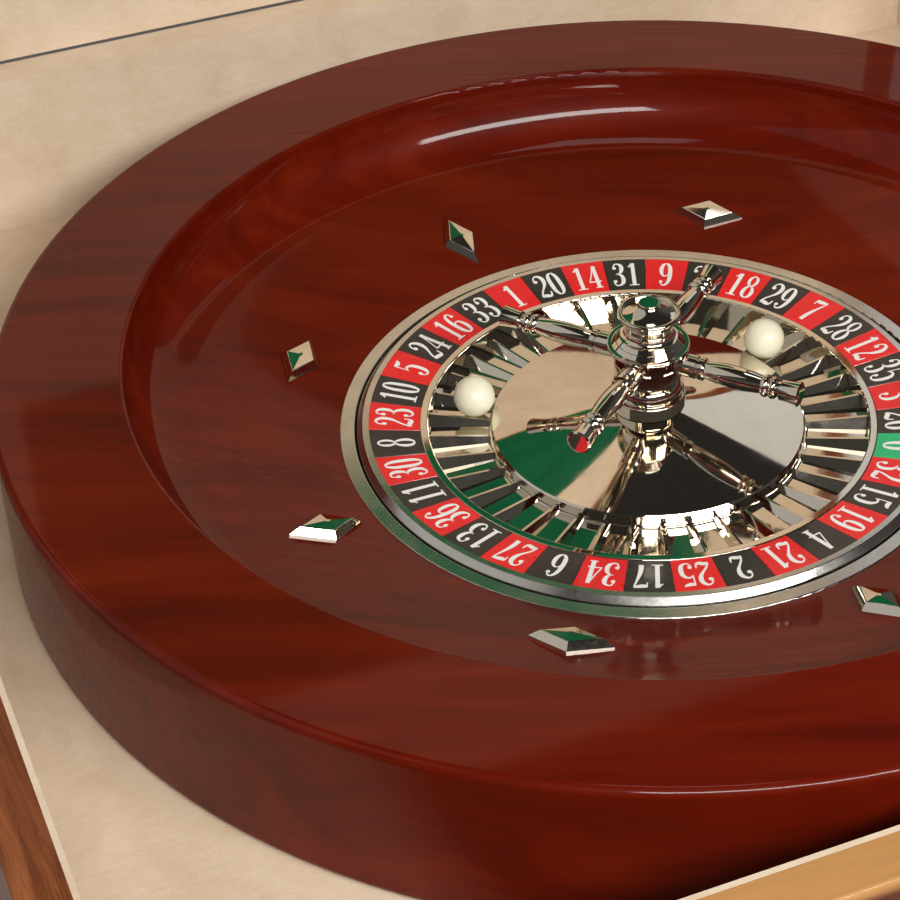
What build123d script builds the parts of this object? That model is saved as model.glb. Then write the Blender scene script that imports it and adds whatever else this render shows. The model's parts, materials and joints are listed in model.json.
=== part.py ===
from build123d import *
import os
from math import cos, radians, sin, sqrt, tan

# Casino game chest: a walnut box, lined with suede, that holds a roulette wheel under a hinged lid.
# Millimetres. X runs to the right, Y to the back and Z up. The origin is the middle of the underside.
# The wheel's axis is the Z axis. Heights of the wheel's surfaces are measured from its rim's top face,
# so they are negative below it.

# Wheel bowl
wheel_height = 63.0
wheel_base_thickness = 10.0
rim_outer_radius = 250.0
rim_width = 50.0
rim_foot_width = 14.0
rim_outer_round = 3.0
rim_inner_round = 1.5
track_shelf = 15.0
cove_radius = 26.3
apron_slope = 14.4
apron_step = 0.37
stator_outer_radius = 120.8
stator_width = 5.8
stator_drop = 2.2
ring_round = 0.5
rotor_recess_depth = 7.0

# Chest around the wheel
wheel_side_gap = 25.0
wall_clearance = 3.5
board_thickness = 16.0
lining_thickness = 2.0
felt_thickness = 2.0
felt_inset = 3.0
base_thickness = 12.0
floor_lining_thickness = 3.0
edge_round = 1.5

# Lid
lid_gap = 0.4
lid_height = 26.0
lid_rail_thickness = 18.0
lid_panel_thickness = 12.0
lining_set_back = 0.3
layout_width = 400.0
layout_depth = 270.0
layout_shift = 16.0
trim_width = 3.0
trim_proud = 0.2
lid_open_angle = 95.0

# Hinges
hinge_end_distance = 60.0
hinge_stand_off = 0.5
leaf_length = 60.0
leaf_width = 14.5
leaf_thickness = 1.8
leaf_offset = 2.1
knuckle_radius = 3.2
knuckle_count = 5
knuckle_gap = 0.3
knuckle_clearance = 0.4
mortise_clearance = 0.3
hinge_pin_radius = 1.5
hinge_pin_clearance = 0.05
hinge_screw_length = 10.0
hinge_screw_pitch = 20.0
hinge_screw_inset = 5.0
screw_radius = 1.5
screw_head_radius = 2.9
screw_head_depth = 1.4

# Deflector diamonds on the apron
diamond_from_stator = 22.0
diamond_length = 30.5
diamond_width = 16.0
diamond_skirt = 0.8
diamond_height = 4.3
diamond_crown_scale = 0.72
diamond_crown_rise = 0.8
diamond_tip_scale = 0.1
diamond_edge_round = 0.6
diamond_azimuth = -36.2
diamond_count = 8

# Spindle
spindle_radius = 6.0
spindle_foot = 2.0
spindle_top_gap = 1.0
flange_radius = 22.0
flange_thickness = 2.0
shoulder_radius = 8.0
shoulder_gap = 0.3
flange_screw_circle = 15.0
flange_screw_length = 4.0
bearing_clearance = 0.05

# Rotor, from its rim inwards
running_gap = 0.8
plate_side_gap = 3.0
plate_lift = 1.0
rotor_plate_thickness = 3.0
lip_width = 4.8
lip_land = 2.4
lip_drop = 2.3
number_width = 20.0
number_rise = 2.2
number_ring_thickness = 1.2
inner_lip_width = 3.2
inner_lip_height = 8.8
inner_lip_proud = 0.2
pocket_length = 24.7
pocket_ring_thickness = 1.5
pocket_fillet = 1.0
pocket_land = 0.5
pocket_count = 37
zero_azimuth = -37.4

# Frets between the pockets
fret_start = 0.3
fret_end_gap = 0.2
fret_top_width = 1.0
fret_draft = 33.0
fret_inner_height = 2.1
fret_outer_height = 4.35

# Cone that covers the rotor's middle
cone_edge_rise = 5.0
cone_rise = 9.0
cone_thickness = 1.2
cone_edge_bevel = 0.6

# Rotor hub and bearings
hub_radius = 13.0
hub_flange_radius = 24.0
hub_flange_thickness = 2.5
hub_screw_circle = 18.5
hub_screw_length = 5.0
hub_neck_radius = 9.5
hub_bore_radius = 7.0
lower_bearing_radius = 10.5
lower_bearing_height = 6.0
upper_bearing_radius = 8.0
upper_bearing_height = 4.5
upper_bearing_drop = 2.0

# Turret, from the cone upwards
turret_base_radius = 14.7
turret_base_height = 5.4
bell_foot_radius = 13.0
bell_radius = 13.5
bell_top_radius = 10.6
bell_height = 6.9
collar_radius = 11.2
collar_height = 1.0
turret_hub_radius = 13.3
turret_hub_height = 12.1
flute_count = 72
flute_set_back = 0.1
flute_depth = 0.3
flute_height = 6.6
saucer_thickness = 1.5
saucer_radius = 16.0
neck_radius = 9.0
neck_height = 10.1
flare_foot_radius = 14.2
flare_band_width = 1.3
flare_band_rise = 1.55
flare_step = 0.35
neck_ring_radius = 0.55
neck_ring_count = 2
neck_ring_pitch = 2.8
neck_ring_start = 1.0
cap_radius = 12.2
cap_height = 4.0
cap_foot_radius = 9.6
cap_roll_radius = 1.0
cap_roll_start = -50.0
dome_rise = 2.6
dome_bulge = 0.5
dome_top_radius = 4.6
button_radius = 4.2
button_height = 1.4
rod_radius = 3.0
rod_clearance = 0.05
rod_depth = 10.4

# Arms of the turret
arm_count = 4
arm_azimuth = -49.8
arm_rise = 7.4
arm_length = 62.5
arm_tenon_radius = 2.0
arm_tenon_depth = 7.3
socket_radius = 4.5
socket_length = 24.0
socket_groove_depth = 0.6
socket_groove_width = 1.4
socket_ring_width = 2.1
socket_edge = 0.4
spindle_end_radius = 3.4
spindle_middle_radius = 4.5
spindle_length = 23.0
bead_radius = 4.4
bead_width = 3.1
barrel_neck_radius = 3.0
barrel_neck_length = 1.6
barrel_foot_radius = 4.0
barrel_middle_radius = 4.25
barrel_tip_radius = 4.8

# Balls
ball_radius = 8.2
ball_seat_gap = 0.15
ball_from_cone = 7.5
ball_pockets = [18, 31]

# Radii of the bowl and the rotor
rim_inner_radius = rim_outer_radius - rim_width
wheel_base_radius = rim_outer_radius - rim_foot_width
track_outer_radius = rim_inner_radius + track_shelf
cove_axis_radius = rim_inner_radius - cove_radius
track_inner_radius = cove_axis_radius + cove_radius * sin(radians(apron_slope))
stator_inner_radius = stator_outer_radius - stator_width
diamond_circle_radius = stator_outer_radius + diamond_from_stator
rotor_radius = stator_inner_radius - running_gap
plate_radius = stator_inner_radius - plate_side_gap
lip_inner_radius = rotor_radius - lip_width
inner_lip_outer_radius = lip_inner_radius - number_width
inner_lip_inner_radius = inner_lip_outer_radius - inner_lip_width
cone_radius = inner_lip_inner_radius - pocket_length
fret_inner_radius = cone_radius + fret_start
ball_circle_radius = cone_radius + ball_from_cone
pocket_pitch = 360 / pocket_count

# Heights of the wheel, from its foot upwards
wheel_foot = -wheel_height
base_top = wheel_foot + wheel_base_thickness
recess_floor = base_top - rotor_recess_depth
flange_top = recess_floor + flange_thickness
rotor_plate_bottom = flange_top + plate_lift
rotor_plate_top = rotor_plate_bottom + rotor_plate_thickness
pocket_floor = rotor_plate_top + pocket_ring_thickness
inner_lip_top = rotor_plate_top + inner_lip_height
number_inner_height = inner_lip_top - inner_lip_proud
number_outer_height = number_inner_height + number_rise
stator_top = number_outer_height - stator_drop
cove_bottom = stator_top - apron_step + (track_inner_radius - stator_outer_radius) * tan(radians(apron_slope))
track_seat = cove_bottom + cove_radius * cos(radians(apron_slope))
cone_edge_height = pocket_floor + cone_edge_rise
cone_top_height = cone_edge_height + cone_rise
turret_base_top = cone_top_height + turret_base_height
bell_top = turret_base_top + bell_height
collar_top = bell_top + collar_height
turret_hub_bottom = collar_top + collar_height
arm_height = turret_hub_bottom + arm_rise
saucer_bottom = turret_hub_bottom + turret_hub_height
saucer_top = saucer_bottom + saucer_thickness
cap_bottom = saucer_top + neck_height
cap_top = cap_bottom + cap_height
dome_top = cap_top + dome_rise
button_top = dome_top + button_height
rod_bottom = saucer_bottom - rod_depth
spindle_top = turret_hub_bottom - spindle_top_gap
lower_bearing_top = rotor_plate_bottom + lower_bearing_height
upper_bearing_bottom = turret_hub_bottom - upper_bearing_drop - upper_bearing_height

# Heights and half widths of the chest
lined_half = rim_outer_radius + wheel_side_gap
inside_half = lined_half + lining_thickness
outside_half = inside_half + board_thickness
panel_top = felt_thickness + base_thickness
floor_top = panel_top + floor_lining_thickness
rim_top = floor_top + wheel_height
wall_top = rim_top + button_top + wall_clearance
lid_bottom = wall_top + lid_gap
lid_top = lid_bottom + lid_height
hinge_y = outside_half + hinge_stand_off
hinge_z = (wall_top + lid_bottom) / 2
lid_lining_face = lid_bottom + lining_set_back
lid_lining_back = lid_lining_face + lining_thickness
ledge_top = wall_top - lining_set_back
ledge_bottom = ledge_top - lining_thickness

pieces = {}


def turned(outline):
    """Solid of revolution about the wheel's axis, from curves of (radius, height below the rim top)."""
    section = Plane.XZ * make_face(outline)
    return Pos(0, 0, rim_top) * revolve(section, Axis.Z)


def rod(radius, bottom, top):
    """Solid cylinder on the wheel's axis between two heights."""
    return Pos(0, 0, rim_top + (bottom + top) / 2) * Cylinder(radius, top - bottom)


def loop(*points):
    """Closed outline through points of (radius, height)."""
    return Polyline(*points, close=True)


def softened(solid, radius, *corners):
    """Round the circular edges that lie nearest to the given (radius, height) corners."""
    ring_edges = solid.edges().filter_by(GeomType.CIRCLE)

    def nearest(corner_radius, height):
        target = rim_top + height
        return min(ring_edges, key=lambda e: abs(e.radius - corner_radius) + abs(e.center().Z - target))

    return fillet([nearest(*corner) for corner in corners], radius)


def block(x_low, x_high, y_low, y_high, z_low, z_high):
    """Rectangular block between six faces."""
    size = (x_high - x_low, y_high - y_low, z_high - z_low)
    middle = ((x_low + x_high) / 2, (y_low + y_high) / 2, (z_low + z_high) / 2)
    return Pos(*middle) * Box(*size)


def slab(half_x, half_y, z_low, z_high):
    """Rectangular plate centred on the Z axis, between two heights."""
    return block(-half_x, half_x, -half_y, half_y, z_low, z_high)


def mitred(inner, thickness, bottom, top):
    """Board along the back side, with both ends cut at 45 degrees."""
    outer = inner + thickness
    plan = loop((-inner, inner), (inner, inner), (outer, outer), (-outer, outer))
    return Pos(0, 0, bottom) * extrude(make_face(plan), top - bottom)


def eased(board, top_edge, bottom_edge):
    """Round the long outer edges of a board that lies along the back side."""
    long_edges = board.edges().filter_by(Axis.X).sort_by(Axis.Y)[-2:].sort_by(Axis.Z)
    chosen = []
    if bottom_edge:
        chosen.append(long_edges[0])
    if top_edge:
        chosen.append(long_edges[-1])
    return fillet(chosen, edge_round)


def screw(length):
    """Countersunk screw that points down from z = 0."""
    head = Pos(0, 0, -screw_head_depth / 2) * Cone(screw_radius, screw_head_radius, screw_head_depth)
    shank = Pos(0, 0, -length / 2) * Cylinder(screw_radius, length)
    return head + shank


def ring(inner_radius, outer_radius, bottom, top):
    """Flat ring about the wheel's axis between two heights."""
    return rod(outer_radius, bottom, top) - rod(inner_radius, bottom, top)


def ring_of(solid, count, start=0.0):
    """Copies of a solid at equal turns about the Z axis."""
    return [Rot(0, 0, start + 360 / count * i) * solid for i in range(count)]


def group(solids):
    """Several equal solids in one node."""
    return Compound(children=[s.solid() for s in solids])


def without(solid, cutters):
    """Solid with every cutter taken away."""
    for cutter in cutters:
        solid = solid - cutter
    return solid


# Hinges, in the closed pose
hinge_centre = lined_half - hinge_end_distance
hinge_centres = [-hinge_centre, hinge_centre]
knuckle_pitch = leaf_length / knuckle_count


def knuckle_middle(number):
    return (number - (knuckle_count - 1) / 2) * knuckle_pitch


def hinge_leaf(side, numbers):
    """Leaf below (side -1) or above (side 1) the pin, with the knuckles of the given numbers."""
    near = hinge_z + side * leaf_offset
    far = hinge_z + side * (leaf_offset + leaf_thickness)
    half = leaf_length / 2
    leaf = block(-half, half, hinge_y - leaf_width, hinge_y, min(near, far), max(near, far))
    clear = knuckle_radius + knuckle_clearance
    for number in range(knuckle_count):
        middle = knuckle_middle(number)
        if number in numbers:
            length = knuckle_pitch - knuckle_gap
            barrel = Pos(middle, hinge_y, hinge_z) * Rot(0, 90, 0) * Cylinder(knuckle_radius, length)
            leaf = leaf + barrel
        else:
            reach = (knuckle_pitch + knuckle_gap) / 2
            room = Box(reach * 2, clear * 2, clear * 4)
            leaf = leaf - Pos(middle, hinge_y, hinge_z) * room
    return leaf - along_pin(hinge_pin_radius + hinge_pin_clearance)


def along_pin(radius):
    """Cylinder along the hinge's pin."""
    return Pos(0, hinge_y, hinge_z) * Rot(0, 90, 0) * Cylinder(radius, leaf_length)


def hinge_screws(side):
    """Three screws through a leaf, with their heads flush with the face towards the pin."""
    turn = Rot(0, 0, 0) if side < 0 else Rot(180, 0, 0)
    screw_y = hinge_y - leaf_width + hinge_screw_inset
    screw_z = hinge_z + side * leaf_offset
    one = turn * screw(hinge_screw_length)
    return [Pos(number * hinge_screw_pitch, screw_y, screw_z) * one for number in (-1, 0, 1)]


def at_hinges(solid):
    return [Pos(x, 0, 0) * solid for x in hinge_centres]


def screws_at_hinges(side):
    return [Pos(x, 0, 0) * one for x in hinge_centres for one in hinge_screws(side)]


box_screws = screws_at_hinges(-1)
lid_screws = screws_at_hinges(1)
even_knuckles = range(0, knuckle_count, 2)
odd_knuckles = range(1, knuckle_count, 2)
mortise_half = leaf_length / 2 + mortise_clearance
leaf_back = hinge_y - leaf_width
leaf_far = leaf_offset + leaf_thickness
knuckle_space = hinge_y - knuckle_radius - knuckle_clearance


def leaf_space(z_low, z_high, y_low=leaf_back):
    """Room for both hinges between two heights, open at the back."""
    one = block(-mortise_half, mortise_half, y_low, hinge_y + edge_round, z_low, z_high)
    return at_hinges(one)


def chest_pieces():
    """Boards, base and linings of the box."""
    felt_half = outside_half - felt_inset
    pieces["base_felt"] = slab(felt_half, felt_half, 0, felt_thickness)
    pieces["base_panel"] = slab(inside_half, inside_half, felt_thickness, panel_top)
    pieces["floor_lining"] = slab(inside_half, inside_half, panel_top, floor_top)

    board = eased(mitred(inside_half, board_thickness, felt_thickness, wall_top), True, True)
    pieces["front_board"] = Rot(0, 0, 180) * board
    pieces["left_board"] = Rot(0, 0, 90) * board
    pieces["right_board"] = Rot(0, 0, -90) * board
    notch = block(-lined_half, lined_half, inside_half, hinge_y, ledge_bottom, wall_top)
    mortises = leaf_space(hinge_z - leaf_far, wall_top)
    pieces["back_board"] = without(board - notch, mortises + box_screws)

    wall = mitred(lined_half, lining_thickness, floor_top, wall_top)
    pieces["front_lining"] = Rot(0, 0, 180) * wall
    pieces["left_lining"] = Rot(0, 0, 90) * wall
    pieces["right_lining"] = Rot(0, 0, -90) * wall
    pieces["back_lining"] = mitred(lined_half, lining_thickness, floor_top, ledge_bottom)
    ledge = block(-lined_half, lined_half, lined_half, outside_half, ledge_bottom, ledge_top)
    over_leaf = leaf_space(ledge_bottom, hinge_z - leaf_offset)
    around_knuckles = leaf_space(ledge_bottom, wall_top, knuckle_space)
    pieces["rear_ledge_lining"] = without(ledge, over_leaf + around_knuckles)


def bowl_pieces():
    """Fixed wooden bowl of the wheel and its metal ring."""
    base = turned(
        loop(
            (0, wheel_foot),
            (wheel_base_radius, wheel_foot),
            (wheel_base_radius, base_top),
            (stator_inner_radius, base_top),
            (stator_inner_radius, recess_floor),
            (0, recess_floor),
        )
    )
    rim = turned(
        loop(
            (wheel_base_radius, wheel_foot),
            (rim_outer_radius, wheel_foot),
            (rim_outer_radius, 0),
            (rim_inner_radius, 0),
            (rim_inner_radius, track_seat),
            (track_outer_radius, track_seat),
            (track_outer_radius, base_top),
            (wheel_base_radius, base_top),
        )
    )
    rim = softened(rim, rim_outer_round, (rim_outer_radius, 0), (rim_outer_radius, wheel_foot))
    pieces["wheel_rim"] = softened(rim, rim_inner_round, (rim_inner_radius, 0))

    cove = CenterArc((cove_axis_radius, track_seat), cove_radius, 270 + apron_slope, 90 - apron_slope)
    back = Polyline(
        (rim_inner_radius, track_seat),
        (track_outer_radius, track_seat),
        (track_outer_radius, base_top),
        (track_inner_radius, base_top),
        (track_inner_radius, cove_bottom),
    )
    pieces["ball_track"] = turned(Curve() + [cove, back])
    pieces["apron"] = turned(
        loop(
            (track_inner_radius, cove_bottom),
            (track_inner_radius, base_top),
            (stator_outer_radius, base_top),
            (stator_outer_radius, apron_height(stator_outer_radius)),
        )
    )
    stator = ring(stator_inner_radius, stator_outer_radius, base_top, stator_top)
    pieces["stator_ring"] = softened(
        stator, ring_round, (stator_outer_radius, stator_top), (stator_inner_radius, stator_top)
    )

    one_screw = Pos(flange_screw_circle, 0, rim_top + flange_top) * screw(flange_screw_length)
    screws = ring_of(one_screw, 4, 45)
    pieces["flange_screws"] = group(screws)
    flange = turned(
        loop(
            (spindle_radius, recess_floor),
            (flange_radius, recess_floor),
            (flange_radius, flange_top),
            (shoulder_radius, flange_top),
            (shoulder_radius, rotor_plate_bottom - shoulder_gap),
            (spindle_radius, rotor_plate_bottom - shoulder_gap),
        )
    )
    pieces["spindle_flange"] = without(flange, screws)
    pieces["spindle"] = rod(spindle_radius, recess_floor - spindle_foot, spindle_top)
    pieces["wheel_base"] = without(base, [*screws, pieces["spindle"]])


def apron_height(radius):
    """Height of the apron's sloping face at a radius."""
    return cove_bottom - (track_inner_radius - radius) * tan(radians(apron_slope))


def diamond(radial_half, tangential_half):
    """Deflector on the apron at azimuth 0: a rhombus with sloped sides and a low crown."""
    slope = radians(apron_slope)
    ground = Plane(
        origin=(diamond_circle_radius, 0, rim_top + apron_height(diamond_circle_radius)),
        x_dir=(cos(slope), 0, sin(slope)),
        z_dir=(-sin(slope), 0, cos(slope)),
    )

    def rhombus(scale, height):
        a = radial_half * scale
        b = tangential_half * scale
        return ground.offset(height) * make_face(loop((a, 0), (0, b), (-a, 0), (0, -b)))

    skirt = extrude(rhombus(1, -diamond_skirt), diamond_skirt * 2)
    shoulder = diamond_skirt + (diamond_height - diamond_skirt) * diamond_crown_rise
    crown = loft(
        [
            rhombus(1, diamond_skirt),
            rhombus(diamond_crown_scale, shoulder),
            rhombus(diamond_tip_scale, diamond_height),
        ],
        ruled=True,
    )
    body = skirt + crown
    shoulder_edges = [e for e in body.edges() if abs(ground.to_local_coords(e.center()).Z - shoulder) < 0.01]
    return fillet(shoulder_edges, diamond_edge_round) - pieces["apron"]


def diamond_pieces():
    """Deflectors, by turns along and across the radius."""
    half_length = diamond_length / 2
    half_width = diamond_width / 2
    across = diamond(half_width, half_length)
    along = diamond(half_length, half_width)
    half_count = diamond_count // 2
    pieces["tangential_diamonds"] = group(ring_of(across, half_count, diamond_azimuth))
    pieces["radial_diamonds"] = group(ring_of(along, half_count, diamond_azimuth + 360 / diamond_count))


def rotor_pieces():
    """Plate, rings, pockets and cone that turn on the spindle."""
    ring_outer = number_outer_height - number_ring_thickness
    ring_inner = number_inner_height - number_ring_thickness
    plate = turned(
        loop(
            (hub_radius, rotor_plate_bottom),
            (plate_radius, rotor_plate_bottom),
            (plate_radius, rotor_plate_top),
            (lip_inner_radius, rotor_plate_top),
            (lip_inner_radius, ring_outer),
            (inner_lip_outer_radius, ring_inner),
            (inner_lip_outer_radius, rotor_plate_top),
            (hub_radius, rotor_plate_top),
        )
    )
    lip_edge = (rotor_radius, number_outer_height - lip_drop)
    lip_crest = (lip_inner_radius + lip_land, number_outer_height)
    lip = turned(
        loop(
            (lip_inner_radius, rotor_plate_top),
            (rotor_radius, rotor_plate_top),
            lip_edge,
            lip_crest,
            (lip_inner_radius, number_outer_height),
        )
    )
    pieces["rotor_lip"] = softened(lip, ring_round, lip_edge, lip_crest)
    pieces["number_ring"] = turned(
        loop(
            (inner_lip_outer_radius, ring_inner),
            (lip_inner_radius, ring_outer),
            (lip_inner_radius, number_outer_height),
            (inner_lip_outer_radius, number_inner_height),
        )
    )
    inner_lip = ring(inner_lip_inner_radius, inner_lip_outer_radius, rotor_plate_top, inner_lip_top)
    pieces["inner_lip"] = softened(
        inner_lip,
        ring_round,
        (inner_lip_outer_radius, inner_lip_top),
        (inner_lip_inner_radius, inner_lip_top),
    )
    fillet_middle = (cone_radius + pocket_land + pocket_fillet, pocket_floor + pocket_fillet)
    hollow = CenterArc(fillet_middle, pocket_fillet, 180, 90)
    floor = Polyline(
        hollow @ 1,
        (inner_lip_inner_radius, pocket_floor),
        (inner_lip_inner_radius, rotor_plate_top),
        (cone_radius, rotor_plate_top),
        (cone_radius, pocket_floor + pocket_fillet),
        hollow @ 0,
    )
    pieces["pocket_ring"] = turned(Curve() + [hollow, floor])
    pieces["frets"] = group(ring_of(fret(), pocket_count, zero_azimuth + pocket_pitch / 2))

    cone_slope = cone_rise / (cone_radius - hub_radius)
    bevel_height = cone_edge_height - cone_edge_bevel
    skirt_radius = cone_radius - cone_thickness
    pieces["cone"] = turned(
        loop(
            (hub_radius, cone_top_height),
            (cone_radius - cone_edge_bevel, cone_edge_height + cone_slope * cone_edge_bevel),
            (cone_radius, bevel_height),
            (cone_radius, rotor_plate_top),
            (skirt_radius, rotor_plate_top),
            (skirt_radius, cone_edge_height - cone_thickness),
            (hub_radius, cone_top_height - cone_thickness),
        )
    )

    one_screw = Pos(hub_screw_circle, 0, rim_top + rotor_plate_top + hub_flange_thickness)
    screws = ring_of(one_screw * screw(hub_screw_length), 4)
    pieces["hub_screws"] = group(screws)
    pieces["rotor_plate"] = without(plate, screws)
    pieces["rotor_hub"] = without(rotor_hub(), screws)
    pieces["bearing_lower"] = bearing(rotor_plate_bottom, lower_bearing_top, lower_bearing_radius)
    upper_bearing_top = upper_bearing_bottom + upper_bearing_height
    pieces["bearing_upper"] = bearing(upper_bearing_bottom, upper_bearing_top, upper_bearing_radius)


def rotor_hub():
    """Hub with a flange on the plate, a seat for each bearing and a neck inside the turret."""
    flange_face = rotor_plate_top + hub_flange_thickness
    return turned(
        loop(
            (lower_bearing_radius, rotor_plate_bottom),
            (hub_radius, rotor_plate_bottom),
            (hub_radius, rotor_plate_top),
            (hub_flange_radius, rotor_plate_top),
            (hub_flange_radius, flange_face),
            (hub_radius, flange_face),
            (hub_radius, cone_top_height),
            (hub_neck_radius, cone_top_height),
            (hub_neck_radius, turret_hub_bottom),
            (upper_bearing_radius, turret_hub_bottom),
            (upper_bearing_radius, upper_bearing_bottom),
            (hub_bore_radius, upper_bearing_bottom),
            (hub_bore_radius, lower_bearing_top),
            (lower_bearing_radius, lower_bearing_top),
        )
    )


def bearing(bottom, top, radius):
    """Bearing ring around the spindle."""
    return ring(spindle_radius + bearing_clearance, radius, bottom, top)


def fret_rise(radius):
    """Height of a fret's top above the pockets' floor; it climbs towards the numbers."""
    outer = inner_lip_inner_radius - fret_end_gap
    share = (radius - fret_inner_radius) / (outer - fret_inner_radius)
    return fret_inner_height + share * (fret_outer_height - fret_inner_height)


def fret():
    """Rib at azimuth 0 with flat sloping flanks, cut to the hollow at the pocket's inner end."""

    def section(radius):
        rise = fret_rise(radius)
        top_half = fret_top_width / 2
        base_half = top_half + rise * tan(radians(fret_draft))
        upright = Plane(origin=(radius, 0, rim_top + pocket_floor), x_dir=(0, 1, 0), z_dir=(1, 0, 0))
        return upright * make_face(loop((-base_half, 0), (base_half, 0), (top_half, rise), (-top_half, rise)))

    ends = [section(fret_inner_radius), section(inner_lip_inner_radius - fret_end_gap)]
    return loft(ends, ruled=True) - pieces["pocket_ring"]


def turret_pieces():
    """Chrome turret that stands on the rotor's hub."""
    bell_middle = turret_base_top + bell_height / 2
    bell_foot = (bell_foot_radius, turret_base_top)
    bell = ThreePointArc(bell_foot, (bell_radius, bell_middle), (bell_top_radius, bell_top))
    rest = Polyline(
        (bell_top_radius, bell_top),
        (collar_radius, bell_top),
        (collar_radius, collar_top),
        (bell_top_radius, collar_top),
        (bell_top_radius, turret_hub_bottom),
        (hub_neck_radius, turret_hub_bottom),
        (hub_neck_radius, cone_top_height),
        (turret_base_radius, cone_top_height),
        (turret_base_radius, turret_base_top),
        bell_foot,
    )
    base = turned(Curve() + [bell, rest])
    pieces["turret_base"] = softened(base, ring_round, (turret_base_radius, turret_base_top))

    flute_bottom = saucer_bottom - flute_height
    hub = rod(turret_hub_radius, turret_hub_bottom, flute_bottom) + fluted_drum(flute_bottom)
    tenon_bore = arm_tenon()
    hub = without(hub, ring_of(tenon_bore, arm_count, arm_azimuth))
    pieces["turret_hub"] = hub - rod_room()

    saucer = rod(saucer_radius, saucer_bottom, saucer_top)
    saucer = softened(saucer, ring_round, (saucer_radius, saucer_bottom), (saucer_radius, saucer_top))
    pieces["turret_saucer"] = saucer - rod_room()
    pieces["turret_neck"] = turret_neck() - rod_room()
    pieces["turret_cap"] = turret_cap() - rod_room()
    button = rod(button_radius, dome_top, button_top)
    pieces["turret_button"] = softened(button, ring_round, (button_radius, button_top))
    pieces["turret_rod"] = rod(rod_radius, rod_bottom, dome_top)


def fluted_drum(bottom):
    """Upper part of the turret's hub, with V-shaped flutes all round."""
    ridge_radius = turret_hub_radius - flute_set_back
    outline = []
    for number in range(flute_count * 2):
        angle = radians(arm_azimuth + 180 / flute_count * number)
        radius = ridge_radius - flute_depth * (number % 2)
        outline.append((radius * cos(angle), radius * sin(angle)))
    return Pos(0, 0, rim_top + bottom) * extrude(make_face(loop(*outline)), saucer_bottom - bottom)


def turret_neck():
    """Ringed neck that flares out in a hollow curve and two sloped bands."""
    lower_band_radius = flare_foot_radius - flare_band_width
    lower_band_top = saucer_top + flare_band_rise
    upper_foot_radius = lower_band_radius - flare_step
    upper_band_radius = upper_foot_radius - flare_band_width
    upper_band_top = lower_band_top + flare_band_rise
    hollow_radius = upper_band_radius - neck_radius
    hollow = CenterArc((upper_band_radius, upper_band_top + hollow_radius), hollow_radius, 180, 90)
    rest = Polyline(
        (upper_band_radius, upper_band_top),
        (upper_foot_radius, lower_band_top),
        (lower_band_radius, lower_band_top),
        (flare_foot_radius, saucer_top),
        (0, saucer_top),
        (0, cap_bottom),
        (neck_radius, cap_bottom),
        (neck_radius, upper_band_top + hollow_radius),
    )
    neck = turned(Curve() + [hollow, rest])
    for number in range(neck_ring_count):
        height = cap_bottom - neck_ring_start - number * neck_ring_pitch
        neck = neck + Pos(0, 0, rim_top + height) * Torus(neck_radius, neck_ring_radius)
    return neck


def turret_cap():
    """Cap with a rolled edge round a shallow dome."""
    roll_axis = (cap_radius - cap_roll_radius, cap_top - cap_roll_radius)
    roll = CenterArc(roll_axis, cap_roll_radius, cap_roll_start, 180 - cap_roll_start)
    dome = SagittaArc(roll @ 1, (dome_top_radius, dome_top), dome_bulge)
    rest = Polyline(
        (dome_top_radius, dome_top),
        (0, dome_top),
        (0, cap_bottom),
        (cap_foot_radius, cap_bottom),
        roll @ 0,
    )
    return turned(Curve() + [roll, dome, rest])


def rod_room():
    """Bore for the tie rod, which is open at the top."""
    return rod(rod_radius + rod_clearance, rod_bottom, button_top)


def arm_tenon():
    """Round tenon of an arm at azimuth 0, inside the turret's hub."""
    place = Pos(turret_hub_radius - arm_tenon_depth / 2, 0, rim_top + arm_height)
    return place * Rot(0, 90, 0) * Cylinder(arm_tenon_radius, arm_tenon_depth)


def arm():
    """Arm at azimuth 0: socket, long spindle, two beads and a flared barrel."""
    socket_end = socket_length
    spindle_end = socket_end + spindle_length
    bead_ends = [spindle_end + bead_width * i for i in range(3)]
    barrel_start = bead_ends[-1] + barrel_neck_length
    groove = socket_radius - socket_groove_depth
    groove_end = socket_end - socket_ring_width
    groove_start = groove_end - socket_groove_width
    line = Polyline(
        (0, 0),
        (0, socket_radius),
        (groove_start, socket_radius),
        (groove_start + socket_edge, groove),
        (groove_end - socket_edge, groove),
        (groove_end, socket_radius),
        (socket_end - socket_edge, socket_radius),
        (socket_end, spindle_end_radius),
    )
    spindle_arc = ThreePointArc(
        (socket_end, spindle_end_radius),
        (socket_end + spindle_length / 2, spindle_middle_radius),
        (spindle_end, spindle_end_radius),
    )
    beads = [
        ThreePointArc(
            (start, spindle_end_radius),
            (start + bead_width / 2, bead_radius),
            (start + bead_width, spindle_end_radius),
        )
        for start in bead_ends[:-1]
    ]
    neck = Polyline(
        (bead_ends[-1], spindle_end_radius),
        (bead_ends[-1], barrel_neck_radius),
        (barrel_start, barrel_neck_radius),
        (barrel_start, barrel_foot_radius),
    )
    flare_end = arm_length - ring_round
    flare = ThreePointArc(
        (barrel_start, barrel_foot_radius),
        ((barrel_start + flare_end) / 2, barrel_middle_radius),
        (flare_end, barrel_tip_radius),
    )
    tip = Polyline((flare_end, barrel_tip_radius), (arm_length, barrel_foot_radius), (arm_length, 0), (0, 0))
    body = revolve(make_face(Curve() + [line, spindle_arc, *beads, neck, flare, tip]), Axis.X)
    seat = rod(turret_hub_radius, turret_hub_bottom, saucer_bottom)
    return Pos(0, 0, rim_top + arm_height) * body - seat + arm_tenon()


def arm_pieces():
    one = arm()
    for number, placed in enumerate(ring_of(one, arm_count, arm_azimuth), start=1):
        pieces[f"arm_{number}"] = placed


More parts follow.
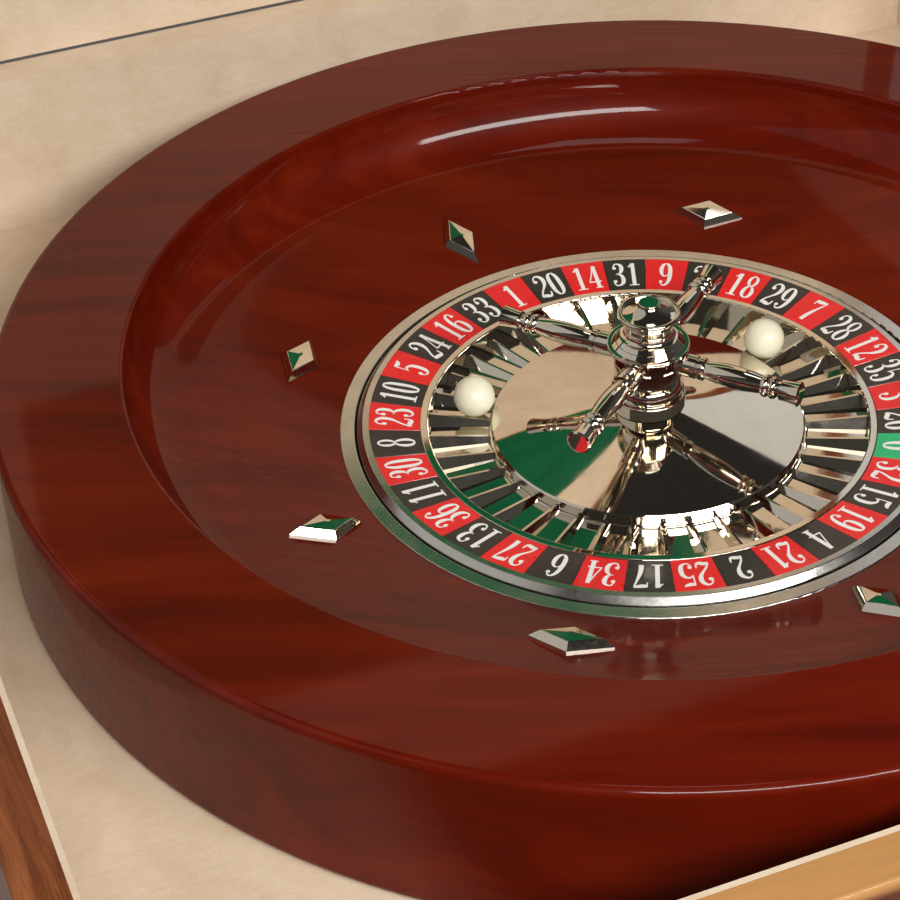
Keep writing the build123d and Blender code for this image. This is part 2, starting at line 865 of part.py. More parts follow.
def ball_pieces():
    """Balls that rest on the edges of two frets, over the middle of a pocket."""
    half_gap = ball_circle_radius * sin(radians(pocket_pitch / 2)) - fret_top_width / 2
    rise = fret_rise(ball_circle_radius) + sqrt((ball_radius + ball_seat_gap) ** 2 - half_gap**2)
    for number, pocket in enumerate(ball_pockets, start=1):
        azimuth = zero_azimuth - pocket * pocket_pitch
        place = Rot(0, 0, azimuth) * Pos(ball_circle_radius, 0, rim_top + pocket_floor + rise)
        pieces[f"ball_{number}"] = place * Sphere(ball_radius)


def lid_pieces():
    """Lid in the closed pose, then swung open about the hinge pins."""
    closed = {}
    rail = eased(mitred(lined_half, lid_rail_thickness, lid_bottom, lid_top), True, True)
    closed["lid_front_rail"] = Rot(0, 0, 180) * rail
    closed["lid_left_rail"] = Rot(0, 0, 90) * rail
    closed["lid_right_rail"] = Rot(0, 0, -90) * rail
    notch = block(-lined_half, lined_half, lined_half, hinge_y, lid_bottom, lid_lining_back)
    mortises = leaf_space(lid_bottom, hinge_z + leaf_far)
    closed["lid_back_rail"] = without(rail - notch, mortises + lid_screws)

    panel_bottom = lid_top - lid_panel_thickness
    closed["lid_panel"] = slab(lined_half, lined_half, panel_bottom, lid_top)
    closed["lid_backer"] = slab(lined_half, lined_half, lid_lining_back, panel_bottom)
    half_width = layout_width / 2
    half_depth = layout_depth / 2
    lining = block(-lined_half, lined_half, -lined_half, outside_half, lid_lining_face, lid_lining_back)
    shifted = Pos(0, -layout_shift, 0)
    window = shifted * slab(half_width, half_depth, lid_lining_face, lid_lining_back)
    over_leaf = leaf_space(hinge_z + leaf_offset, lid_lining_back)
    around_knuckles = leaf_space(lid_bottom, lid_lining_back, knuckle_space)
    closed["lid_lining"] = without(lining - window, over_leaf + around_knuckles)
    trim_face = lid_lining_face - trim_proud
    inner_width = half_width - trim_width
    inner_depth = half_depth - trim_width
    trim = slab(half_width, half_depth, trim_face, lid_lining_back)
    closed["layout_trim"] = shifted * (trim - slab(inner_width, inner_depth, trim_face, lid_lining_back))
    closed["layout_panel"] = shifted * slab(inner_width, inner_depth, lid_lining_face, lid_lining_back)
    closed["hinge_lid_leaves"] = group(at_hinges(without(hinge_leaf(1, odd_knuckles), hinge_screws(1))))
    closed["hinge_lid_screws"] = group(lid_screws)

    pins = Axis((0, hinge_y, hinge_z), (1, 0, 0))
    for name, solid in closed.items():
        pieces[name] = solid.rotate(pins, -lid_open_angle)


def hinge_pieces():
    """Leaves, screws and pins that stay with the box."""
    pieces["hinge_box_leaves"] = group(at_hinges(without(hinge_leaf(-1, even_knuckles), hinge_screws(-1))))
    pieces["hinge_box_screws"] = group(box_screws)
    pieces["hinge_pins"] = group(at_hinges(along_pin(hinge_pin_radius)))


chest_pieces()
bowl_pieces()
diamond_pieces()
rotor_pieces()
turret_pieces()
arm_pieces()
ball_pieces()
lid_pieces()
hinge_pieces()

os.makedirs("parts", exist_ok=True)
for name, piece in pieces.items():
    export_step(piece, f"parts/{name}.step")
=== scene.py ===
"""Looks of a suede-lined walnut chest that holds a mahogany roulette wheel."""

import json
import math

import bmesh
import bpy
from mathutils import Matrix, Vector


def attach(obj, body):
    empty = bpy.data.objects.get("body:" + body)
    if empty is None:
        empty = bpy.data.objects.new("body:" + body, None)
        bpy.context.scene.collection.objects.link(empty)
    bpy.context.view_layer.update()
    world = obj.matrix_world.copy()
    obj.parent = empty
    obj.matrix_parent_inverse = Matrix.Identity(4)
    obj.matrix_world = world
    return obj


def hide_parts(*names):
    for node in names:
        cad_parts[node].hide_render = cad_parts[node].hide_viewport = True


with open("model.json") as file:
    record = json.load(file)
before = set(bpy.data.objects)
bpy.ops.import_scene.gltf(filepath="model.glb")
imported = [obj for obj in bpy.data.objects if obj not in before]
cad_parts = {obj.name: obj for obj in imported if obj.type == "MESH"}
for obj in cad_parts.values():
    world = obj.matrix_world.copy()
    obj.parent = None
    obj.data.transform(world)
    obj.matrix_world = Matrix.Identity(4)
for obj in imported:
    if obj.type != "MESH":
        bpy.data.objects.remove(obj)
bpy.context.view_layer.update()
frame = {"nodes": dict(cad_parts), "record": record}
nodes = frame["nodes"]
scene = bpy.context.scene
MM = 0.001


# Colours, written as they look on a screen

def srgb(red, green, blue):
    """A screen colour from 0 to 255 as the linear colour that a shader takes."""
    return tuple(_linear(c / 255) for c in (red, green, blue)) + (1.0,)


def _linear(c):
    if c <= 0.04045:
        return c / 12.92
    return ((c + 0.055) / 1.055) ** 2.4


# Helpers for procedural materials

def material(name, **sockets):
    """A new material with a principled shader, and its sockets set by name."""
    made = bpy.data.materials.new(name)
    made.use_nodes = True
    shader = made.node_tree.nodes["Principled BSDF"]
    for key, value in sockets.items():
        shader.inputs[key.replace("_", " ")].default_value = value
    return made


def shader_of(made):
    return made.node_tree.nodes["Principled BSDF"]


def link(made, source, target):
    made.node_tree.links.new(source, target)


def add(made, kind, settings=None, **inputs):
    """A node of that kind; an input is a number, a colour or another node's output."""
    item = made.node_tree.nodes.new("ShaderNode" + kind)
    for key, value in (settings or {}).items():
        setattr(item, key, value)
    for key, value in inputs.items():
        put(made, item.inputs[key.replace("_", " ")], value)
    return item


def put(made, socket, value):
    if isinstance(value, bpy.types.NodeSocket):
        link(made, value, socket)
    else:
        socket.default_value = value


def place(made, scale, turn=(0, 0, 0), shift=(0, 0, 0)):
    """The surface point in metres, moved, turned in degrees and scaled for a texture."""
    coordinates = add(made, "TexCoord").outputs["Object"]
    angles = [math.radians(a) for a in turn]
    turned = add(made, "Mapping", Vector=coordinates, Rotation=angles, Location=shift)
    return add(made, "Mapping", Vector=turned.outputs[0], Scale=scale).outputs[0]


def noise(made, vector, scale=1.0, detail=4.0, rough=0.5, warp=0.0):
    item = add(made, "TexNoise", Vector=vector, Scale=scale, Detail=detail)
    item.inputs["Roughness"].default_value = rough
    item.inputs["Distortion"].default_value = warp
    return item.outputs[0]


def ramp(made, value, *stops):
    """Numbers or colours by the value: each stop is (position, grey or colour)."""
    item = add(made, "ValToRGB", Fac=value)
    band = item.color_ramp
    while len(band.elements) < len(stops):
        band.elements.new(0.5)
    for element, (position, colour) in zip(band.elements, stops):
        element.position = position
        if isinstance(colour, (int, float)):
            colour = (colour, colour, colour, 1.0)
        element.color = colour
    return item.outputs[0]


def blend_colours(made, factor, first, second, how="MIX"):
    item = add(made, "Mix", {"data_type": "RGBA", "blend_type": how})
    put(made, item.inputs[0], factor)
    put(made, item.inputs[6], first)
    put(made, item.inputs[7], second)
    return item.outputs[2]


def maths(made, operation, first, second=0.5):
    item = add(made, "Math", {"operation": operation})
    put(made, item.inputs[0], first)
    put(made, item.inputs[1], second)
    return item.outputs[0]


def bump(made, height, strength, distance):
    item = add(made, "Bump", Height=height, Strength=strength, Distance=distance)
    link(made, item.outputs[0], shader_of(made).inputs["Normal"])


def colour_from(made, output):
    link(made, output, shader_of(made).inputs["Base Color"])


def roughness_from(made, output):
    link(made, output, shader_of(made).inputs["Roughness"])


# Woods: how many marks there are in a metre, along the grain and across it

SWAY = (3.2, 9, 9)
STREAKS = (22, 420, 420)
LINES = (60, 620, 620)
LINE_PATCHES = (5, 26, 26)
PORES = (90, 1500, 1500)
BAND_LENGTH = 9
GRAIN_RELIEF = 0.00008
PAINTED_HIGHLIGHT_FADE = 0.002


def wood(
    name, dark, middle, light, fleck, turn, ribbon, gloss,
    fleck_share=0.62, contrast=1.0, pale=None, painted_highlight_from=1.0,
):
    """Wood whose grain runs along X once the point is turned; ribbon is a band's width in metres.

    The streaks, flecks and pores are as strong as contrast says. Above the height painted_highlight_from,
    in metres, the grain fades into the colour pale: a painted highlight for light glancing off a top face.
    """
    made = material(name, Roughness=0.5, Coat_Weight=gloss, Coat_Roughness=0.06)
    shader_of(made).inputs["Specular IOR Level"].default_value = 0.06
    shader_of(made).inputs["Coat IOR"].default_value = 1.42
    along = 1 / (ribbon * BAND_LENGTH)
    across = 1 / ribbon
    sway = noise(made, place(made, SWAY, turn), detail=2.0)
    bands = noise(made, place(made, (along, across, across), turn), 1.0, 5.0, 0.55, 0.9)
    waved = maths(made, "ADD", bands, maths(made, "MULTIPLY", maths(made, "SUBTRACT", sway, 0.5), 0.55))
    body = ramp(made, waved, (0.26, dark), (0.5, middle), (0.74, light))
    streaks = noise(made, place(made, STREAKS, turn), 1.0, 4.0, 0.6, 0.15)
    body = blend_colours(made, ramp(made, streaks, (0.42, 0.0), (0.68, 0.55 * contrast)), body, dark)
    lit = noise(made, place(made, LINES, turn, (0.3, 0.1, 0.2)), 1.0, 3.0, 0.55)
    where = noise(made, place(made, LINE_PATCHES, turn, (0.7, 0.4, 0.1)), 1.0, 3.0)
    lines = ramp(made, lit, (0.56, 0.0), (0.66, 1.0))
    patch = ramp(made, where, (fleck_share - 0.1, 0.0), (fleck_share + 0.04, 0.8 * contrast))
    body = blend_colours(made, maths(made, "MULTIPLY", lines, patch), body, fleck)
    pores = noise(made, place(made, PORES, turn), 1.0, 2.0, 0.5)
    pits = ramp(made, pores, (0.3, 0.0), (0.42, 1.0))
    open_pores = maths(made, "MULTIPLY", maths(made, "SUBTRACT", 1.0, pits), 0.5 * contrast)
    body = blend_colours(made, open_pores, body, dark)
    # Painted highlight: above painted_highlight_from the grain is blended towards the colour pale,
    # painting in light that glances off a top face.
    if pale:
        height = add(made, "SeparateXYZ", Vector=place(made, (1, 1, 1))).outputs["Z"]
        share = ramp(made, height, (painted_highlight_from, 0.0), (painted_highlight_from + PAINTED_HIGHLIGHT_FADE, 0.75))
        body = blend_colours(made, share, body, pale)
    colour_from(made, body)
    roughness_from(made, ramp(made, streaks, (0.3, 0.34), (0.7, 0.52)))
    bump(made, maths(made, "ADD", pits, streaks), 0.35, GRAIN_RELIEF * contrast)
    return made


ALONG_X = (0, 0, 0)
ALONG_Y = (0, 0, -90)
ALONG_Z = (0, 90, 0)
GRAIN_OF_WHEEL = (0, 0, 21.8)
PLAIN_RIBBON = 0.009
mahogany = wood(
    "mahogany_lacquered",
    dark=srgb(76, 10, 1),
    middle=srgb(98, 18, 2),
    light=srgb(114, 28, 5),
    fleck=srgb(136, 44, 10),
    turn=GRAIN_OF_WHEEL,
    ribbon=0.022,
    gloss=0.5,
    fleck_share=0.66,
    contrast=0.4,
)

walnut_tones = dict(
    dark=srgb(78, 38, 20),
    middle=srgb(126, 68, 38),
    light=srgb(162, 98, 58),
    fleck=srgb(196, 132, 84),
    ribbon=PLAIN_RIBBON,
    gloss=0.35,
)
walnut_along_x = wood("walnut_along_x", turn=ALONG_X, **walnut_tones)
walnut_along_y = wood("walnut_along_y", turn=ALONG_Y, **walnut_tones)
walnut_along_z = wood("walnut_along_z", turn=ALONG_Z, **walnut_tones)
# Front board walnut: its top face is painted pale tan as a painted highlight of the light glancing off it.
# Below that face it is the same walnut as the other boards.
walnut_painted_highlight_top = wood(
    "walnut_painted_highlight_top",
    turn=ALONG_X,
    pale=srgb(226, 172, 108),
    painted_highlight_from=0.0885,
    **walnut_tones,
)
birch = wood(
    "birch_board",
    dark=srgb(150, 112, 74),
    middle=srgb(184, 148, 104),
    light=srgb(206, 174, 130),
    fleck=srgb(220, 190, 150),
    turn=ALONG_X,
    ribbon=0.012,
    gloss=0.0,
)


# Cloths and leather

NAP_RELIEF = 0.00025


def napped(name, pale, deep, patch, hair, sheen):
    """A short nap such as suede or felt: mottled patches, fine hairs and a soft sheen."""
    made = material(name, Roughness=0.95, Sheen_Weight=sheen, Sheen_Roughness=0.45)
    shader_of(made).inputs["Specular IOR Level"].default_value = 0.15
    patches = noise(made, place(made, (1, 1, 1)), 1 / patch, 6.0, 0.6, 0.4)
    hairs = noise(made, place(made, (1, 1, 1)), 1 / hair, 3.0, 0.7)
    brushed = noise(made, place(made, (1, 3.2, 3.2)), 1 / (patch * 0.22), 4.0, 0.6)
    tone = maths(made, "ADD", maths(made, "MULTIPLY", patches, 0.55), maths(made, "MULTIPLY", hairs, 0.25))
    tone = maths(made, "ADD", tone, maths(made, "MULTIPLY", brushed, 0.2))
    colour_from(made, ramp(made, tone, (0.36, deep), (0.62, pale)))
    bump(made, maths(made, "ADD", hairs, maths(made, "MULTIPLY", brushed, 0.6)), 0.6, NAP_RELIEF)
    return made


suede = napped(
    "suede_beige", srgb(234, 214, 190), srgb(216, 192, 163), patch=0.035, hair=0.0009, sheen=0.2
)
felt = napped(
    "felt_dark", srgb(40, 58, 46), srgb(22, 36, 28), patch=0.02, hair=0.0006, sheen=0.3
)
baize = napped(
    "baize_green", srgb(12, 104, 68), srgb(2, 78, 48), patch=0.03, hair=0.0005, sheen=0.12
)


# Metals

def metal(name, colour, rough, smear=0.05, wave=0.0, wave_size=0.01, cut=(1, 1, 1)):
    """A polished or brushed metal with smears in its gloss."""
    made = material(name, Base_Color=colour, Metallic=1.0, Roughness=rough)
    smears = noise(made, place(made, (1, 1, 1)), 55.0, 4.0, 0.6, 0.8)
    specks = noise(made, place(made, cut), 900.0, 2.0, 0.5)
    both = maths(made, "ADD", maths(made, "MULTIPLY", smears, 0.7), maths(made, "MULTIPLY", specks, 0.3))
    roughness_from(made, ramp(made, both, (0.35, max(rough - smear, 0.02)), (0.68, rough + smear)))
    tint = blend_colours(made, ramp(made, smears, (0.4, 0.0), (0.8, 0.12)), colour, srgb(150, 140, 122))
    colour_from(made, tint)
    if wave:
        bump(made, noise(made, place(made, (1, 1, 1)), 1 / wave_size, 2.0), 0.5, wave)
    return made


nickel = metal("nickel_polished", srgb(226, 218, 204), 0.05, 0.025, wave=0.00001, wave_size=0.012)
cast_nickel = metal("nickel_cast", srgb(218, 210, 196), 0.07, 0.03, wave=0.00002, wave_size=0.004)
satin_nickel = metal("nickel_satin", srgb(214, 212, 206), 0.2, 0.05, cut=(1, 1, 0.05))
steel = metal("steel_machined", srgb(176, 176, 174), 0.26, 0.08, cut=(1, 1, 0.05))
aluminium = metal("aluminium_turned", srgb(206, 207, 208), 0.34, 0.1, cut=(0.2, 0.2, 1))
brass = metal("brass_satin", srgb(206, 166, 92), 0.24, 0.08, cut=(0.1, 1, 1))


# Enamel and resin

def enamel(name, colour, worn):
    made = material(name, Roughness=0.3, Coat_Weight=0.4, Coat_Roughness=0.12)
    cloud = noise(made, place(made, (1, 1, 1)), 120.0, 4.0, 0.6)
    grit = noise(made, place(made, (1, 1, 1)), 2600.0, 2.0, 0.5)
    colour_from(made, blend_colours(made, ramp(made, cloud, (0.4, 0.0), (0.85, 0.45)), colour, worn))
    roughness_from(made, ramp(made, cloud, (0.3, 0.24), (0.7, 0.38)))
    bump(made, grit, 0.25, 0.00002)
    return made


red_enamel = enamel("enamel_red", srgb(242, 18, 30), srgb(224, 12, 24))
black_enamel = enamel("enamel_black", srgb(36, 32, 31), srgb(52, 46, 43))
green_enamel = enamel("enamel_green", srgb(4, 190, 122), srgb(0, 170, 108))
white_enamel = enamel("enamel_white", srgb(252, 250, 247), srgb(244, 240, 236))


def resin():
    made = material("ivory_resin", Roughness=0.3, Subsurface_Weight=0.15, Subsurface_Scale=0.003)
    cloud = noise(made, place(made, (1, 1, 1)), 90.0, 3.0, 0.5, 0.3)
    colour_from(made, ramp(made, cloud, (0.3, srgb(240, 235, 205)), (0.7, srgb(247, 243, 219))))
    roughness_from(made, ramp(made, cloud, (0.3, 0.26), (0.7, 0.36)))
    bump(made, noise(made, place(made, (1, 1, 1)), 400.0, 2.0), 0.1, 0.00001)
    return made


ivory = resin()


# Finish of each node

FINISHES = {
    "felt": felt,
    "board": birch,
    "suede": suede,
    "walnut": walnut_along_x,
    "mahogany": mahogany,
    "chrome": nickel,
    "steel": steel,
    "aluminium": aluminium,
    "brass": brass,
    "enamel": black_enamel,
    "ivory_resin": ivory,
    "baize": baize,
}
OWN_FINISHES = {
    "left_board": walnut_along_y,
    "right_board": walnut_along_y,
    "lid_left_rail": walnut_along_z,
    "lid_right_rail": walnut_along_z,
    "front_board": walnut_painted_highlight_top,
    "stator_ring": satin_nickel,
    "rotor_lip": satin_nickel,
    "pocket_ring": cast_nickel,
    "frets": cast_nickel,
}

for part in frame["record"]["subparts"]:
    name = part["node"]
    nodes[name].data.materials.clear()
    nodes[name].data.materials.append(OWN_FINISHES.get(name, FINISHES[part["material_slot"]]))


# New pieces from mesh code

def piece(name, mesh, finish, body):
    made = bpy.data.objects.new(name, mesh)
    scene.collection.objects.link(made)
    mesh.materials.append(finish)
    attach(made, body)
    return made


# Number ring: 37 enamelled cells on a shallow cone

WHEEL_TOP = 80.0
RING_INNER = 89.4
RING_OUTER = 109.4
RING_INNER_Z = WHEEL_TOP - 45.4
RING_OUTER_Z = WHEEL_TOP - 43.2
CELL_THICKNESS = 1.2
CELL_EASE = 0.12
CELL_SIDE_GAP = 0.02
SPANS_ACROSS = 4
SPANS_ALONG = 8
POCKETS = 37
CELL_ANGLE = 360 / POCKETS
ZERO_AZIMUTH = -37.4
NUMBERS = (
    0, 32, 15, 19, 4, 21, 2, 25, 17, 34, 6, 27, 13, 36, 11, 30, 8, 23, 10,
    5, 24, 16, 33, 1, 20, 14, 31, 9, 22, 18, 29, 7, 28, 12, 35, 3, 26,
)
REDS = (32, 19, 21, 25, 34, 27, 36, 30, 23, 5, 16, 1, 14, 9, 18, 7, 12, 3)
RING_SLOPE = (RING_OUTER_Z - RING_INNER_Z) / (RING_OUTER - RING_INNER)


def ring_height(radius):
    return RING_INNER_Z + (radius - RING_INNER) * RING_SLOPE


def cell_azimuth(k):
    return ZERO_AZIMUTH - k * CELL_ANGLE


def at_polar(radius, degrees, z):
    angle = math.radians(degrees)
    return Vector((radius * math.cos(angle), radius * math.sin(angle), z)) * MM


def add_cell(mesh, middle):
    """One curved plate of the ring, with its top edge eased."""
    ease_angle = math.degrees(CELL_EASE / RING_OUTER)
    flat = RING_OUTER - RING_INNER - 2 * CELL_EASE
    radii = [RING_INNER, RING_INNER + CELL_EASE]
    radii += [RING_INNER + CELL_EASE + flat * i / SPANS_ACROSS for i in range(1, SPANS_ACROSS)]
    radii += [RING_OUTER - CELL_EASE, RING_OUTER]
    half = CELL_ANGLE / 2 - CELL_SIDE_GAP
    turn = 2 * half - 2 * ease_angle
    angles = [-half, -half + ease_angle]
    angles += [(-half + ease_angle) + turn * i / SPANS_ALONG for i in range(1, SPANS_ALONG)]
    angles += [half - ease_angle, half]
    top, bottom = [], []
    for i, radius in enumerate(radii):
        for j, angle in enumerate(angles):
            edge = i in (0, len(radii) - 1) or j in (0, len(angles) - 1)
            z = ring_height(radius)
            drop = CELL_EASE if edge else 0
            top.append(mesh.verts.new(at_polar(radius, middle + angle, z - drop)))
            bottom.append(mesh.verts.new(at_polar(radius, middle + angle, z - CELL_THICKNESS)))
    wide = len(angles)
    tall = len(radii)
    for i in range(tall - 1):
        for j in range(wide - 1):
            a, b, c, d = i * wide + j, (i + 1) * wide + j, (i + 1) * wide + j + 1, i * wide + j + 1
            mesh.faces.new((top[a], top[b], top[c], top[d]))
            mesh.faces.new((bottom[d], bottom[c], bottom[b], bottom[a]))
    border = list(range(wide))
    border += [i * wide + wide - 1 for i in range(1, tall)]
    border += [(tall - 1) * wide + j for j in range(wide - 2, -1, -1)]
    border += [i * wide for i in range(tall - 2, 0, -1)]
    for a, b in zip(border, border[1:] + border[:1]):
        mesh.faces.new((top[a], top[b], bottom[b], bottom[a]))


def finished_mesh(name, working):
    bmesh.ops.recalc_face_normals(working, faces=working.faces)
    mesh = bpy.data.meshes.new(name)
    working.to_mesh(mesh)
    working.free()
    return mesh


def cells(name, chosen, finish):
    working = bmesh.new()
    for k, number in enumerate(NUMBERS):
        if chosen(number):
            add_cell(working, cell_azimuth(k))
    made = piece(name, finished_mesh(name, working), finish, "rotor")
    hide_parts("number_ring")
    return made


cells("number_cells_red", lambda n: n in REDS, red_enamel)
cells("number_cells_black", lambda n: n and n not in REDS, black_enamel)
cells("number_cell_green", lambda n: n == 0, green_enamel)


# Numerals: each digit is 46 wide and 100 high, from strokes whose width swells and thins

DIGIT_WIDTH = 46.0
DIGIT_TALL = 0.15
DIGIT_WIDE = 0.127
DIGIT_GAP = 3.0
DIGIT_FOOT = RING_INNER + 2.5
DIGIT_LIFT = 0.05
BALL_SIDES = 20

# A stroke is points of x, y and the pen's width there; a ball is x, y and its radius.
STROKES = {
    "0": [[(8, 50, 14), (9, 76, 13), (15, 93, 9), (23, 97.5, 5), (31, 93, 9), (37, 76, 13), (38, 50, 14),
           (37, 24, 13), (31, 7, 9), (23, 2.5, 5), (15, 7, 9), (9, 24, 13), (8, 50, 14)]],
    "1": [[(24, 2, 13), (24, 50, 13), (24, 98, 13)],
          [(8, 82, 4), (15, 86, 7), (22, 94, 11)],
          [(8, 2, 4), (40, 2, 4)]],
    "2": [[(6, 78, 5), (9, 90, 5), (17, 97, 6), (27, 96, 9), (36, 86, 13), (38, 72, 14), (34, 56, 11),
           (25, 42, 7), (13, 25, 6), (6, 8, 6)],
          [(5, 5, 7), (13, 9, 12), (24, 7, 14), (33, 5, 11), (39, 10, 7), (42, 24, 4)]],
    "3": [[(7, 82, 4), (13, 95, 5), (23, 97, 6), (33, 89, 12), (35, 75, 14), (31, 60, 10), (22, 53, 5),
           (15, 52, 4)],
          [(15, 53, 4), (24, 51, 6), (34, 43, 11), (38, 27, 14), (35, 12, 12), (24, 2.5, 6), (13, 4, 5),
           (6, 16, 4)]],
    "4": [[(29, 97, 5), (18, 62, 4), (4, 28, 4)],
          [(3, 28, 5), (44, 28, 5)],
          [(31, 97, 13), (31, 50, 13), (31, 2, 13)],
          [(19, 2, 4), (43, 2, 4)]],
    "5": [[(10, 92, 11), (22, 90, 13), (34, 93, 10), (40, 98, 4)],
          [(10, 95, 5), (9, 74, 4), (8, 52, 4)],
          [(8, 53, 4), (15, 61, 6), (26, 61, 8), (36, 50, 13), (38, 31, 14), (34, 12, 12), (24, 2.5, 6),
           (13, 4, 5), (6, 15, 4)]],
    "6": [[(38, 86, 4), (33, 95, 5), (25, 97.5, 6), (15, 88, 10), (9, 68, 13), (8, 40, 14), (10, 20, 13),
           (16, 6, 9), (24, 2.5, 5), (32, 7, 9), (37, 20, 13), (38, 33, 13), (35, 49, 10), (27, 57, 6),
           (18, 55, 4), (12, 46, 4)]],
    "7": [[(5, 92, 10), (14, 91, 14), (27, 93, 13), (38, 95, 9), (43, 98, 4)],
          [(5, 97, 4), (4, 76, 4)],
          [(41, 92, 5), (33, 68, 7), (25, 42, 12), (21, 20, 14), (20, 2, 14)]],
    "8": [[(10, 75, 11), (13, 90, 8), (23, 97.5, 5), (33, 90, 8), (36, 75, 10), (32, 61, 8), (23, 54, 6),
           (14, 61, 9), (10, 75, 11)],
          [(23, 54, 6), (33, 45, 9), (38, 27, 13), (34, 10, 10), (23, 2.5, 5), (12, 10, 10), (8, 27, 13),
           (13, 45, 9), (23, 54, 6)]],
}
BALLS = {
    "2": [(10.5, 75, 7)],
    "3": [(10.5, 79, 6.5), (10.5, 20, 6.5)],
    "5": [(10.5, 19, 6.5)],
    "6": [(36, 83, 6)],
}
STROKES["9"] = [[(DIGIT_WIDTH - x, 100 - y, w) for x, y, w in stroke] for stroke in STROKES["6"]]
BALLS["9"] = [(DIGIT_WIDTH - x, 100 - y, r) for x, y, r in BALLS["6"]]
STEPS_PER_SPAN = 6


def smooth(points):
    """Points along a smooth curve through the given ones, with the pen's width carried along."""
    closed = points[0] == points[-1]
    if len(points) == 2:
        return points
    found = []
    for i in range(len(points) - 1):
        before = points[i - 1] if i else (points[-2] if closed else points[0])
        start, end = points[i], points[i + 1]
        last = i + 2 == len(points)
        after = (points[1] if closed else end) if last else points[i + 2]
        for step in range(STEPS_PER_SPAN):
            t = step / STEPS_PER_SPAN
            found.append(tuple(between(p, t) for p in zip(before, start, end, after)))
    found.append(points[-1])
    return found


def between(four, t):
    """The curve that goes through the middle two of four values, at t from 0 to 1."""
    a, b, c, d = four
    square = 2 * a - 5 * b + 4 * c - d
    cube = 3 * b - a - 3 * c + d
    return 0.5 * (2 * b + (c - a) * t + square * t ** 2 + cube * t ** 3)


def stroke_sides(points):
    """The left and right outline of a stroke."""
    line = smooth(points)
    closed = points[0] == points[-1]
    left, right = [], []
    for i, (x, y, width) in enumerate(line):
        back = line[i - 1] if i else (line[-2] if closed else line[0])
        ahead = line[i + 1] if i + 1 < len(line) else (line[1] if closed else line[-1])
        along = Vector((ahead[0] - back[0], ahead[1] - back[1])).normalized()
        side = Vector((-along.y, along.x)) * width / 2
        left.append((x + side.x, y + side.y))
        right.append((x - side.x, y - side.y))
    return left, right


def add_numeral(mesh, number, k):
    """The number in its cell, with its top towards the rim of the wheel."""
    digits = str(number)
    step = (DIGIT_WIDTH + DIGIT_GAP) * DIGIT_WIDE
    start = -(len(digits) * step - DIGIT_GAP * DIGIT_WIDE) / 2
    outward = math.radians(cell_azimuth(k))
    radial = Vector((math.cos(outward), math.sin(outward)))
    reading = Vector((radial.y, -radial.x))

    def placed(x, y):
        flat = radial * (DIGIT_FOOT + y * DIGIT_TALL) + reading * (left_edge + x * DIGIT_WIDE)
        return mesh.verts.new(Vector((flat.x, flat.y, ring_height(flat.length) + DIGIT_LIFT)) * MM)

    for place_in_number, digit in enumerate(digits):
        left_edge = start + place_in_number * step
        for stroke in STROKES[digit]:
            left, right = stroke_sides(stroke)
            left = [placed(x, y) for x, y in left]
            right = [placed(x, y) for x, y in right]
            for i in range(len(left) - 1):
                mesh.faces.new((left[i], right[i], right[i + 1], left[i + 1]))
        for x, y, radius in BALLS.get(digit, []):
            turns = [2 * math.pi * i / BALL_SIDES for i in range(BALL_SIDES)]
            mesh.faces.new([placed(x + radius * math.cos(a), y + radius * math.sin(a)) for a in turns])


def numerals():
    """All the numbers in one mesh, each face turned upwards."""
    working = bmesh.new()
    for k, number in enumerate(NUMBERS):
        add_numeral(working, number, k)
    for face in working.faces:
        face.normal_update()
        if face.normal.z < 0:
            face.normal_flip()
    mesh = bpy.data.meshes.new("numerals")
    working.to_mesh(mesh)
    working.free()
    return mesh


piece("numerals", numerals(), white_enamel, "rotor")


# Camera, set to the photograph's view

camera_data = bpy.data.cameras.new("camera")
camera_data.lens = 93.0
camera_data.sensor_width = 36.0
camera = bpy.data.objects.new("camera", camera_data)
scene.collection.objects.link(camera)
right_of_view = Vector((0.92802, -0.37071, -0.03782))
up_of_view = Vector((0.25228, 0.55030, 0.79596))
towards_camera = Vector((-0.27426, -0.7482, 0.60417))
camera_place = Vector((-0.3257, -0.6619, 0.57787))
facing = Matrix((right_of_view, up_of_view, towards_camera)).transposed()
camera.matrix_world = Matrix.Translation(camera_place) @ facing.to_4x4()
scene.camera = camera


# Floor

FLOOR_HALF = 4.0
floor_mesh = bmesh.new()
bmesh.ops.create_grid(floor_mesh, x_segments=2, y_segments=2, size=FLOOR_HALF)
floor_data = bpy.data.meshes.new("floor")
floor_mesh.to_mesh(floor_data)
floor_mesh.free()
floor = bpy.data.objects.new("floor", floor_data)
scene.collection.objects.link(floor)
floor_finish = material("floor_pale", Roughness=0.8)
floor_cloud = noise(floor_finish, place(floor_finish, (1, 1, 1)), 3.0, 3.0)
floor_tones = ramp(floor_finish, floor_cloud, (0.3, srgb(216, 212, 206)), (0.7, srgb(222, 218, 212)))
colour_from(floor_finish, floor_tones)
floor_data.materials.append(floor_finish)


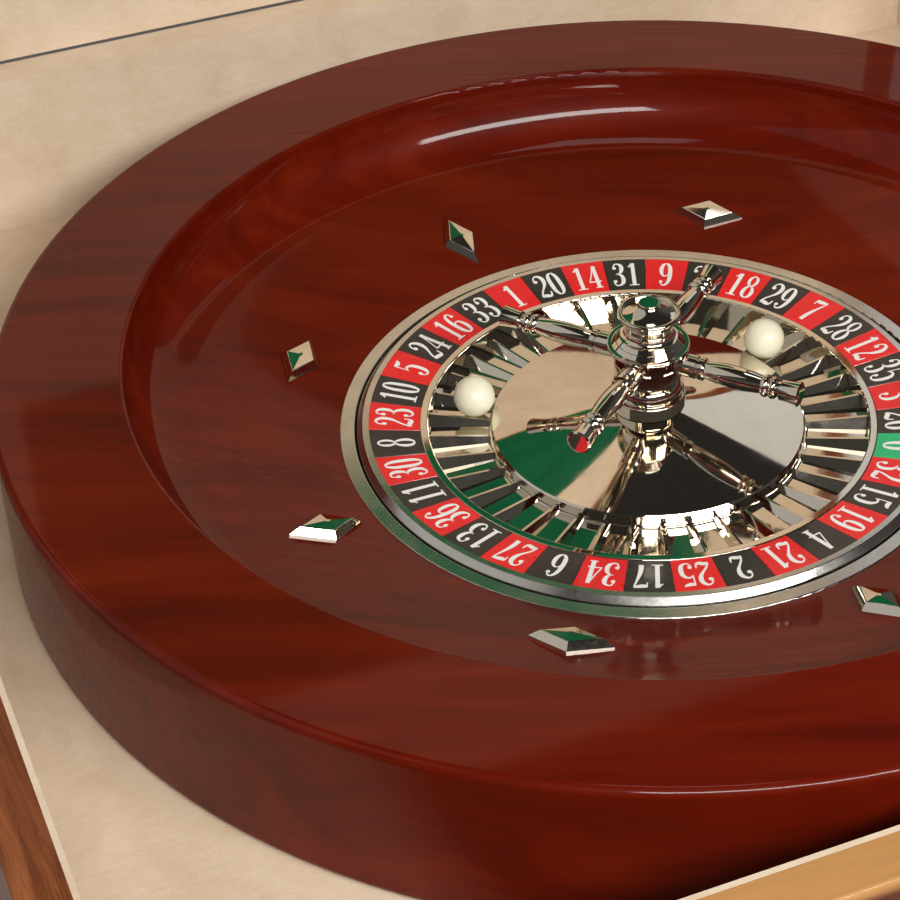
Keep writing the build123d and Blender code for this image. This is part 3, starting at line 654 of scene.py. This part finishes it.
# Lights: soft boxes round the wheel, and a dim studio that darkens upwards

LAMP_COLOUR = (1.0, 0.98, 0.95)
HORIZON_GLOW = (0.08, 0.076, 0.072, 1)
ZENITH_GLOW = (0.025, 0.023, 0.021, 1)


def panel(name, azimuth, elevation, distance, width, height, glow):
    """A soft box that faces the wheel; glow is the brightness of its face."""
    turn, tilt = math.radians(azimuth), math.radians(elevation)
    away = Vector((math.cos(turn) * math.cos(tilt), math.sin(turn) * math.cos(tilt), math.sin(tilt)))
    aim = Vector((0, 0, WHEEL_TOP * MM))
    data = bpy.data.lights.new(name, "AREA")
    data.shape = "RECTANGLE"
    data.size = width
    data.size_y = height
    data.energy = glow * math.pi * width * height
    data.color = LAMP_COLOUR
    lamp = bpy.data.objects.new(name, data)
    lamp.location = aim + away * distance
    lamp.rotation_euler = (aim - lamp.location).to_track_quat("-Z", "Y").to_euler()
    scene.collection.objects.link(lamp)


panel("front_strip", azimuth=-86, elevation=38, distance=1.5, width=1.4, height=0.24, glow=25.0)
panel("overhead", azimuth=50, elevation=77, distance=1.5, width=0.3, height=0.3, glow=2.4)
panel("left_fill", azimuth=165, elevation=38, distance=1.7, width=1.8, height=1.8, glow=0.45)
panel("back_card", azimuth=45, elevation=33, distance=1.5, width=0.7, height=0.5, glow=0.65)

world = bpy.data.worlds.new("studio")
scene.world = world
world.use_nodes = True
sky = world.node_tree.nodes["Background"]
direction = world.node_tree.nodes.new("ShaderNodeTexCoord")
split = world.node_tree.nodes.new("ShaderNodeSeparateXYZ")
band = world.node_tree.nodes.new("ShaderNodeValToRGB")
world.node_tree.links.new(direction.outputs["Generated"], split.inputs[0])
world.node_tree.links.new(split.outputs["Z"], band.inputs[0])
world.node_tree.links.new(band.outputs[0], sky.inputs[0])
band.color_ramp.elements[0].position = 0.3
band.color_ramp.elements[0].color = HORIZON_GLOW
band.color_ramp.elements[1].position = 0.7
band.color_ramp.elements[1].color = ZENITH_GLOW
sky.inputs["Strength"].default_value = 1.0

scene.view_settings.view_transform = "Standard"
